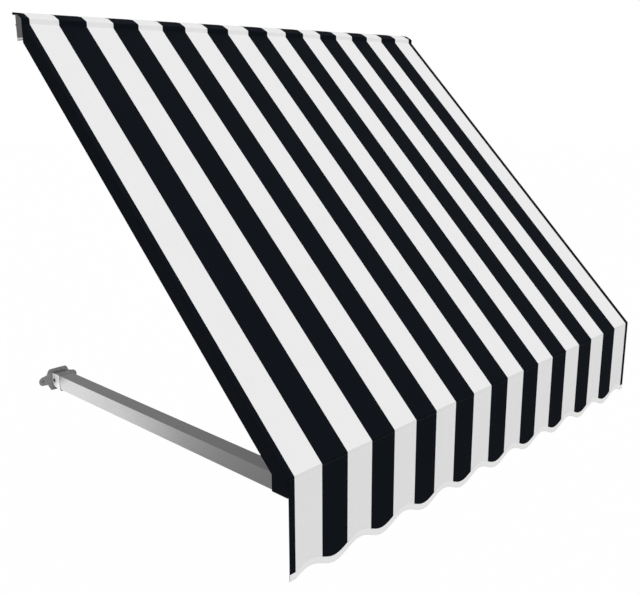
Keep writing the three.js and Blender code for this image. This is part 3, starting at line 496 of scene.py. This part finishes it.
# A sheet of cloth from points and faces, with its fabric UV and stripe UV
def cloth_object(name, points, faces, uvs, material):
    mesh = bpy.data.meshes.new(name)
    mesh.from_pydata(points, [], faces)
    mesh.update()
    cloth_uv = mesh.uv_layers.new(name="cloth")
    stripe_uv = mesh.uv_layers.new(name="stripe")
    for polygon, corners in zip(mesh.polygons, uvs):
        for loop, (u, v) in zip(polygon.loop_indices, corners):
            vertex = mesh.vertices[mesh.loops[loop].vertex_index].co
            cloth_uv.data[loop].uv = (u, v)
            stripe_uv.data[loop].uv = (vertex.x / STRIPE, 0.0)
        polygon.use_smooth = True
    mesh.materials.append(material)
    return link_mesh(name, mesh)


# A point at this Y on the line that runs this deep under the sloped cloth
def slope_at_y(depth, y):
    y0 = FOLD_Y + DOWN[0] * depth
    z0 = FOLD_Z + DOWN[1] * depth
    return (y, z0 + (y - y0) * math.tan(SLOPE))


# Points on an arc in the YZ plane, from one angle to another, in degrees
def arc(cy, cz, radius, start, end, steps):
    turns = [math.radians(start + (end - start) * i / steps) for i in range(steps + 1)]
    return [(cy + radius * math.cos(a), cz + radius * math.sin(a)) for a in turns]


# A corner of a folded line drawn as a soft curve that starts and ends this far from it
def soft_corner(before, corner, after, reach, steps=5):
    start = Vector(corner).lerp(Vector(before), reach / math.dist(before, corner))
    end = Vector(corner).lerp(Vector(after), reach / math.dist(after, corner))
    shares = [i / steps for i in range(steps + 1)]
    return [tuple(start.lerp(Vector(corner), t).lerp(Vector(corner).lerp(end, t), t)) for t in shares]


# Side profile of the cloth over the head, from the foot of its nose to the back lip
def head_line():
    chamfer_end = (FACE_Y + CHAMFER_DEPTH, NOSE_TOP + CHAMFER_DEPTH * math.tan(CHAMFER))
    crown = (-CAP_REAR_GAP - CAP_LIP_DROP, chamfer_end[1] + CAP_TOP_RISE)
    lip_top = (-CAP_REAR_GAP, crown[1] - CAP_LIP_DROP * 0.2)
    lip_foot = (-CAP_REAR_GAP, lip_top[1] - CAP_LIP_DROP)
    nose = soft_corner((FACE_Y, NOSE_BOTTOM), (FACE_Y, NOSE_TOP), chamfer_end, NOSE_FOLD)
    return [(FACE_Y, NOSE_BOTTOM), *nose, chamfer_end, crown, lip_top, lip_foot]


# Cover: the main cloth over head, slope and front, its side wings, undersides and turned-up edges
def make_cover(material):
    line = arc(KEDER_Y, KEDER_Z, KEDER_POCKET - GAP, 150, -170, 16)
    line.append((FOLD_Y + SKIN, KEDER_Z - CLOTH / 2))
    fold_row = len(line)
    line.append(slope_at_y(0, FOLD_Y + SKIN))
    line += head_line()
    xs = [-HALF] + [-STRIPED_HALF + STRIPE / 2 * i for i in range(2 * STRIPES + 1)] + [HALF]
    along = [0.0]
    for a, b in zip(line, line[1:]):
        along.append(along[-1] + math.dist(a, b))
    points, faces, uvs = [], [], []
    for row, (y, z) in enumerate(line):
        for x in xs:
            points.append((max(-BAR_REACH, min(BAR_REACH, x)) if row < fold_row else x, y, z))
    n = len(xs)
    for r in range(len(line) - 1):
        for c in range(n - 1):
            a = r * n + c
            faces.append((a, a + 1, a + n + 1, a + n))
            left, right, low, high = xs[c], xs[c + 1], along[r], along[r + 1]
            uvs.append([(left, low), (right, low), (right, high), (left, high)])
    for side in (-1, 1):
        add_wing(points, faces, uvs, line, n, fold_row, side)
    return cloth_object("cover_cloth", points, faces, uvs, material)


# Side wing of the cover, folded under the rafter and turned up behind it
def add_wing(points, faces, uvs, line, n, fold_row, side):
    column = n - 1 if side > 0 else 0
    x = side * HALF
    top = [row * n + column for row in range(fold_row, len(line))]
    foot = head_line()[-1]
    lower = [
        (-CAP_REAR_GAP - SKIN - CAP_WALL - GAP, foot[1]),
        (RAIL_BACK + GAP, RAIL_TOP + CAP_WALL),
        (RAIL_SLOPE_START, RAIL_TOP + CAP_WALL / 2),
        (RAIL_FRONT - GAP, RAIL_TOP - RAIL_SLOPE_DROP + GAP),
        slope_at_y(WING_DEPTH, RAIL_FRONT - GAP),
        slope_at_y(WING_DEPTH, FOLD_Y + CORNER_FLAP_DEPTH),
        (FOLD_Y + CORNER_FLAP_DEPTH, FOLD_Z - CORNER_FLAP_DROP),
        (FOLD_Y + SKIN, FOLD_Z - CORNER_FLAP_DROP),
    ]
    ids = []
    for y, z in lower:
        ids.append(len(points))
        points.append((x, y, z))
    ring = top + ids

    def fabric(y, z):
        return (y * math.cos(SLOPE) + z * math.sin(SLOPE), -y * math.sin(SLOPE) + z * math.cos(SLOPE))

    if side < 0:
        ring = ring[::-1]
    faces.append(tuple(ring))
    uvs.append([fabric(points[i][1], points[i][2]) for i in ring])
    inner_x = side * (HALF - SKIN - RAFTER_WIDTH - SKIN)
    under = ids[4:6]
    inside, turned = [], []
    for i in under:
        inside.append(len(points))
        points.append((inner_x, points[i][1], points[i][2]))
    for i in inside:
        turned.append(len(points))
        points.append((inner_x, points[i][1] - DOWN[0] * WING_TURN_UP, points[i][2] - DOWN[1] * WING_TURN_UP))
    for near, far, width in ((under, inside, RAFTER_WIDTH), (inside, turned, WING_TURN_UP)):
        quad = [near[0], near[1], far[1], far[0]]
        length = math.dist(points[near[0]], points[near[1]])
        corners = [(0, 0), (length, 0), (length, width), (0, width)]
        if side < 0:
            quad, corners = quad[::-1], corners[::-1]
        faces.append(tuple(quad))
        uvs.append(corners)


# How far the valance hangs below the fold at this X
def scallop_drop(x):
    start = x + HALF - EDGE_STRIPE
    inside = 0 < start < AWNING_WIDTH - 2 * EDGE_STRIPE
    return VALANCE_DROP - (SCALLOP_DEPTH * math.sin(math.pi * start / STRIPE) if inside else 0.0)


# X values across the valance, with this many steps in each whole stripe
def valance_columns(steps):
    xs = [-HALF]
    edges = [-STRIPED_HALF + STRIPE * i for i in range(STRIPES + 1)] + [HALF]
    for edge in edges:
        last = xs[-1]
        count = steps if edge - last > STRIPE / 2 else 2
        xs += [last + (edge - last) * i / count for i in range(1, count + 1)]
    return xs


# Points, faces and UV corners of a sheet from rows of points
def grid(rows, uv_rows):
    points = [p for row in rows for p in row]
    n = len(rows[0])
    faces, uvs = [], []
    for r in range(len(rows) - 1):
        for c in range(n - 1):
            a = r * n + c
            faces.append((a, a + 1, a + n + 1, a + n))
            uvs.append([uv_rows[r][c], uv_rows[r][c + 1], uv_rows[r + 1][c + 1], uv_rows[r + 1][c]])
    return points, faces, uvs


# Valance: a flat strip that hangs from the fold and ends inside its binding
def make_valance(material):
    xs = valance_columns(VALANCE_STEPS)
    lows = [FOLD_Z - scallop_drop(x) + BINDING_TAPE + 2 * GAP for x in xs]
    rows, uv_rows = [], []
    for r in range(VALANCE_STEPS + 1):
        heights = [low + (FOLD_Z - low) * (r / VALANCE_STEPS) for low in lows]
        rows.append([(x, FOLD_Y, z) for x, z in zip(xs, heights)])
        uv_rows.append(list(zip(xs, heights)))
    return cloth_object("valance_cloth", *grid(rows, uv_rows), material)


# Binding: a tape folded round the scalloped edge
def make_binding(material):
    xs = valance_columns(BINDING_STEPS)
    fold = BINDING_TAPE
    rows, uv_rows = [], []
    profile = [
        (TAPE_BACK, BINDING_WIDTH), (TAPE_BACK, BINDING_WIDTH / 2), (TAPE_BACK, 1.2 * fold),
        (TAPE_BACK - fold, 0.0), (TAPE_FRONT + fold, 0.0), (TAPE_FRONT, 1.2 * fold),
        (TAPE_FRONT, BINDING_WIDTH / 2), (TAPE_FRONT, BINDING_WIDTH),
    ]
    for y, up in profile:
        rows.append([(x, y, FOLD_Z - scallop_drop(x) + up) for x in xs])
        uv_rows.append([(x, up if y == TAPE_FRONT else -up) for x in xs])
    return cloth_object("valance_binding_tape", *grid(rows, uv_rows), material)


# A Geometry Nodes tree with named size inputs; it ends in Realize Instances and Set Material
class Shaper(TreeMaker):
    def __init__(self, name, sizes):
        super().__init__(bpy.data.node_groups.new(name, "GeometryNodeTree"))
        self.sockets = {"Geometry": self.socket("Geometry", "NodeSocketGeometry")}
        for size in sizes:
            self.sockets[size] = self.socket(size, "NodeSocketFloat")
        self.sockets["Material"] = self.socket("Material", "NodeSocketMaterial")
        self.socket("Geometry", "NodeSocketGeometry", "OUTPUT")
        self.start = self.tree.nodes.new("NodeGroupInput")

    def socket(self, name, kind, way="INPUT"):
        return self.tree.interface.new_socket(name, in_out=way, socket_type=kind)

    def size(self, name):
        return self.start.outputs[name]

    def finish(self, geometry):
        smooth = self.add("GeometryNodeSetShadeSmooth", None, Geometry=geometry)
        real = self.add("GeometryNodeRealizeInstances", None, Geometry=smooth.outputs[0])
        coat = self.add(
            "GeometryNodeSetMaterial", None, Geometry=real.outputs[0], Material=self.size("Material"))
        end = self.add("NodeGroupOutput")
        self.tree.links.new(coat.outputs[0], end.inputs[0])

    # The plain mesh that the tree makes from a starting mesh and these sizes
    def shape(self, mesh, material, sizes):
        obj = link_mesh("shaping", mesh)
        modifier = obj.modifiers.new("shape", "NODES")
        modifier.node_group = self.tree
        for size, value in sizes.items():
            modifier[self.sockets[size].identifier] = value
        modifier[self.sockets["Material"].identifier] = material
        view_layer = bpy.context.evaluated_depsgraph_get()
        made = bpy.data.meshes.new_from_object(obj.evaluated_get(view_layer))
        bpy.data.objects.remove(obj)
        return made


# A turned piece: a row holds radius terms, height terms (shares of named sizes) and 1 if six-sided
def turned_tree(name, sizes, rows, columns=48):
    s = Shaper(name, sizes)
    sheet = s.add(
        "GeometryNodeMeshGrid", None, Size_X=1.0, Size_Y=1.0, Vertices_X=columns + 1, Vertices_Y=len(rows))
    where = s.add("ShaderNodeSeparateXYZ", None, Vector=s.add("GeometryNodeInputPosition").outputs[0])
    angle = s.maths("MULTIPLY", s.maths("ADD", where.outputs[0], 0.5), 2 * math.pi)
    row = s.maths("ROUND", s.maths("MULTIPLY", s.maths("ADD", where.outputs[1], 0.5), len(rows) - 1.0))
    picked = []
    for part in range(3):
        pick = s.add("GeometryNodeIndexSwitch", {"data_type": "FLOAT"})
        while len(pick.index_switch_items) < len(rows):
            pick.index_switch_items.new()
        s.put(pick.inputs["Index"], row)
        for i, terms in enumerate(rows):
            total = float(terms[2]) if part == 2 else 0.0
            for share, size in (terms[part] if part < 2 else ()):
                total = s.maths("MULTIPLY_ADD", s.size(size), share, total)
            s.put(pick.inputs[i + 1], total)
        picked.append(pick.outputs[0])
    sixth = math.pi / 3
    within = s.maths("SUBTRACT", s.maths("FLOORED_MODULO", angle, sixth), sixth / 2)
    flat = s.maths("DIVIDE", math.cos(sixth / 2), s.maths("COSINE", within))
    side = s.maths("MULTIPLY_ADD", s.maths("SUBTRACT", flat, 1.0), picked[2], 1.0)
    radius = s.maths("MULTIPLY", picked[0], side)
    place = s.add(
        "ShaderNodeCombineXYZ", None, X=s.maths("MULTIPLY", radius, s.maths("COSINE", angle)),
        Y=s.maths("MULTIPLY", radius, s.maths("SINE", angle)), Z=picked[1])
    moved = s.add("GeometryNodeSetPosition", None, Geometry=sheet.outputs[0], Position=place.outputs[0])
    closed = s.add("GeometryNodeMergeByDistance", None, Geometry=moved.outputs[0], Distance=MERGE_DISTANCE)
    s.finish(closed.outputs[0])
    return s


# Round-headed screw with a six-sided socket
def screw_tree():
    shank, length, head, height, key = "Shank Radius", "Length", "Head Radius", "Head Height", "Key Radius"
    rows = [
        ([], [(-1, length)], 0),
        ([(0.7, shank)], [(-1, length)], 0),
        ([(1, shank)], [(-1, length), (0.35, shank)], 0),
        ([(1, shank)], [], 0),
        ([(0.95, head)], [], 0),
        ([(1, head)], [(0.08, height)], 0),
        ([(1, head)], [(0.3, height)], 0),
        ([(0.97, head)], [(0.56, height)], 0),
        ([(0.88, head)], [(0.8, height)], 0),
        ([(0.74, head)], [(0.95, height)], 0),
        ([(0.6, head)], [(1, height)], 0),
        ([(1.08, key)], [(1, height)], 1),
        ([(1, key)], [(0.92, height)], 1),
        ([(1, key)], [(0.35, height)], 1),
        ([], [(0.22, height)], 0),
    ]
    return turned_tree("socket_screw", [shank, length, head, height, key], rows)


# Six-sided nut with both rims eased
def nut_tree():
    bore, corner, height = "Bore Radius", "Corner Radius", "Height"
    rows = [
        ([(1, bore)], [(0.08, height)], 0),
        ([(1.1, bore)], [], 0),
        ([(0.86, corner)], [], 0),
        ([(1, corner)], [(0.12, height)], 1),
        ([(1, corner)], [(0.88, height)], 1),
        ([(0.86, corner)], [(1, height)], 0),
        ([(1.1, bore)], [(1, height)], 0),
        ([(1, bore)], [(0.92, height)], 0),
        ([(1, bore)], [(0.08, height)], 0),
    ]
    return turned_tree("hexagon_nut", [bore, corner, height], rows)


# Rows of sewn stitches along the edges of a mesh
def stitch_tree():
    s = Shaper("stitch_rows", ["Pitch", "Stitch Length", "Thread Radius"])
    path = s.add("GeometryNodeMeshToCurve", None, Mesh=s.size("Geometry"))
    points = s.add(
        "GeometryNodeResampleCurve", {"mode": "LENGTH"}, Curve=path.outputs[0], Length=s.size("Pitch"))
    thread = s.add("GeometryNodeMeshUVSphere", None, Segments=6, Rings=4, Radius=1.0)
    radius = s.size("Thread Radius")
    half_length = s.maths("MULTIPLY", s.size("Stitch Length"), 0.5)
    shape = s.add("ShaderNodeCombineXYZ", None, X=radius, Y=radius, Z=half_length)
    stitch = s.add("GeometryNodeTransform", None, Geometry=thread.outputs[0], Scale=shape.outputs[0])
    along = s.add("GeometryNodeInputTangent")
    turn = s.add("FunctionNodeAlignRotationToVector", {"axis": "Z"}, Vector=along.outputs[0])
    rows = s.add(
        "GeometryNodeInstanceOnPoints", None, Points=points.outputs[0], Instance=stitch.outputs[0],
        Rotation=turn.outputs[0])
    s.finish(rows.outputs[0])
    return s


# Least and greatest X, Y and Z of a CAD node
def node_box(name):
    corners = [nodes[name].matrix_world @ Vector(c) for c in nodes[name].bound_box]
    return [(min(c[i] for c in corners), max(c[i] for c in corners)) for i in range(3)]


# Moves a fastener to its CAD solid: its head faces along this axis, 0 to 2, in this sense, 1 or -1
def seat(mesh, name, axis, sense, head_height):
    extent = node_box(name)
    place = Vector([(a + b) / 2 for a, b in extent])
    place[axis] = extent[axis][1] - head_height if sense > 0 else extent[axis][0] + head_height
    way = Vector([0, 0, 0])
    way[axis] = sense
    mesh.transform(Matrix.Translation(place) @ way.to_track_quat("Z", "Y").to_matrix().to_4x4())
    return mesh


# One piece from several meshes, which stands for their CAD nodes
def joined(name, meshes, material, body, replaced):
    bm = bmesh.new()
    for mesh in meshes:
        bm.from_mesh(mesh)
    bmesh.ops.recalc_face_normals(bm, faces=bm.faces)
    mesh = bpy.data.meshes.new(name)
    bm.to_mesh(mesh)
    bm.free()
    mesh.materials.append(material)
    mesh.set_sharp_from_angle(angle=math.radians(32))
    obj = link_mesh(name, mesh)
    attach(obj, body)
    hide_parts(*replaced)
    return obj


# Screws, bolts and nuts, each as long as its CAD solid
def finish_fasteners(made):
    screws, nuts = screw_tree(), nut_tree()
    zinc, black = made["zinc"], made["black_steel"]

    def screw(name, axis, sense, kind, material):
        low, high = node_box(name)[axis]
        height = kind["Head Height"]
        sizes = {"Length": high - low - height, "Key Radius": kind["Head Radius"] * KEY_SHARE, **kind}
        mesh = screws.shape(bpy.data.meshes.new(name), material, sizes)
        return seat(mesh, name, axis, sense, height)

    def nut(name, material):
        low, high = node_box(name)[0]
        mesh = nuts.shape(bpy.data.meshes.new(name), material, {"Height": high - low, **PIVOT_NUT})
        return seat(mesh, name, 0, 1, high - low)

    plain = [(f"header_lock_screw_{n}", 2, -1, LOCK_SCREW) for n in ("left", "centre", "right")]
    for side, inward in zip(SIDES, (1, -1)):
        plain.append((f"angle_rail_screw_{side}", 1, -1, SMALL_SCREW))
        plain.append((f"angle_rafter_screw_{side}", 0, inward, SMALL_SCREW))
        plain += [(f"lug_screw_{side}_{i}", 1, 1, SMALL_SCREW) for i in (1, 2)]
    meshes = [screw(*one, zinc) for one in plain]
    joined("canopy_screws", meshes, zinc, "canopy", [one[0] for one in plain])
    for side, outward in zip(SIDES, (-1, 1)):
        name = f"fork_set_screw_{side}"
        mesh = screw(name, 2, -1, SET_SCREW, black)
        joined(f"{side}_arm_set_screw", [mesh], black, f"{side}_arm", [name])
        for end, body in (("front", "canopy"), ("wall", f"{side}_plate")):
            bolt, hex_nut = f"{end}_pivot_bolt_{side}", f"{end}_pivot_nut_{side}"
            meshes = [screw(bolt, 0, outward, PIVOT_BOLT, black), nut(hex_nut, black)]
            joined(f"{side}_{end}_pivot", meshes, black, body, [bolt, hex_nut])


# A mesh of bare lines for stitches to follow
def seam_lines(lines):
    points, edges = [], []
    for line in lines:
        start = len(points)
        points += line
        edges += [(start + i, start + i + 1) for i in range(len(line) - 1)]
    mesh = bpy.data.meshes.new("seam")
    mesh.from_pydata(points, edges, [])
    return mesh


# Stitches along some lines, as one piece
def sewn(stitches, name, lines, material, pitch, length, radius):
    mesh = stitches.shape(
        seam_lines(lines), material, {"Pitch": pitch, "Stitch Length": length, "Thread Radius": radius})
    mesh.name = name
    obj = link_mesh(name, mesh)
    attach(obj, "canopy")
    return obj


# The hem seam of one wing, from the rail down to the front edge
def wing_seams(side):
    corner_y = FOLD_Y + CORNER_FLAP_DEPTH - SEAM_INSET
    low = FOLD_Z - CORNER_FLAP_DROP + SEAM_INSET
    rear = slope_at_y(WING_DEPTH - SEAM_INSET, RAIL_FRONT - SEAM_END)
    path = [rear, slope_at_y(WING_DEPTH - SEAM_INSET, corner_y), (corner_y, low), (FOLD_Y + SEAM_END, low)]
    return [(side * HALF, y, z) for y, z in path]


# Rail, rafters, arms, wall plates and caps in their finishes
def finish_frame(made):
    lengthwise = ["header_rail", "head_cap", "front_bar"]
    lengthwise += [f"header_bracket_{n}" for n in ("left", "centre", "right")]
    extrusions = {
        "along_x": lengthwise,
        "along_slope": [f"rafter_{side}" for side in SIDES],
        "along_y": [f"rafter_angle_{side}" for side in SIDES],
    }
    for key, names in extrusions.items():
        for name in names:
            eased(name, made[key], "canopy")
    for side in SIDES:
        eased(f"arm_{side}", made["arm"], f"{side}_arm", ARM_EASE, 3)
        fork = eased(f"arm_fork_{side}", made["arm"], f"{side}_arm", ARM_EASE, 3)
        # The fork's side faces take the pale finish: painted light that makes them brighter than the fork's
        # top
        coat_faces(fork, made["painted_lit_sides"], lambda face: abs(face.normal.x) > 0.9)
        eased(f"arm_collar_{side}", made["collar"], f"{side}_arm", COLLAR_EASE)
        eased(f"wall_bracket_{side}", made["cast"], f"{side}_plate", PLATE_EASE, 3)
        eased(f"rafter_foot_{side}", made["cast"], "canopy")
        eased(f"front_lug_{side}", made["cast"], "canopy", LUG_EASE)
        cap_foot = node_box(f"header_end_cap_{side}")[2][0]
        lip = (cap_foot + PALE_LIP_FROM, cap_foot + PALE_LIP_TO)
        cap = eased(f"header_end_cap_{side}", made["plastic"], "canopy", CAP_EASE, 3, lip)
        coat_faces(cap, made["pale_plastic"], lambda face: lip[0] < face.calc_center_median().z < lip[1])
        eased(f"front_bar_cap_{side}", made["plastic"], "canopy")
        eased(f"wall_pad_{side}", made["rubber"], f"{side}_plate", PAD_EASE)
    for i in range(HEAD_CAP_SCREWS):
        paint(nodes[f"head_cap_screw_{i + 1}"], made["zinc"])
    paint(nodes["cover_keder"], made["keder"])


# Cover, valance and binding with their stitches
def finish_cloth(made):
    cover = make_cover(made["canvas"])
    round_edges(cover, CLOTH_EASE, 3, FOLD_ANGLE)
    valance = make_valance(made["canvas"])
    binding = make_binding(made["tape"])
    for obj, thickness in ((cover, CLOTH), (valance, CLOTH), (binding, BINDING_TAPE)):
        thicken(obj, thickness)
        flatten_faces(obj)
    stitches = stitch_tree()
    wings = sewn(
        stitches, "cover_hem_stitches", [wing_seams(-1), wing_seams(1)], made["dark_thread"],
        STITCH_PITCH, STITCH_LENGTH, HEM_THREAD_RADIUS)
    seam_line = [(x, FOLD_Y, FOLD_Z - SEAM_INSET) for x in (-HALF + SEAM_END, HALF - SEAM_END)]
    seam = sewn(
        stitches, "valance_seam_stitches", [seam_line], made["clear_thread"],
        STITCH_PITCH, STITCH_LENGTH, CLEAR_THREAD_RADIUS)
    edge_rows = [
        [(x, y, FOLD_Z - scallop_drop(x) + up) for x in valance_columns(BINDING_STEPS)]
        for y in (TAPE_FRONT, TAPE_BACK) for up in (TAPE_SEAM_INSET, BINDING_WIDTH - TAPE_SEAM_INSET)]
    edging = sewn(
        stitches, "binding_stitches", edge_rows, made["thread"],
        TAPE_STITCH_PITCH, TAPE_STITCH_LENGTH, THREAD_RADIUS)
    cloths = (
        (cover, "cover", "striped_cloth"), (valance, "valance", "striped_cloth"),
        (binding, "valance_binding", "binding_tape"))
    for obj, node, slot_name in cloths:
        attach(obj, "canopy")
        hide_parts(node)


make_camera()
make_studio()
finishes = make_materials()
finish_frame(finishes)
finish_fasteners(finishes)
finish_cloth(finishes)
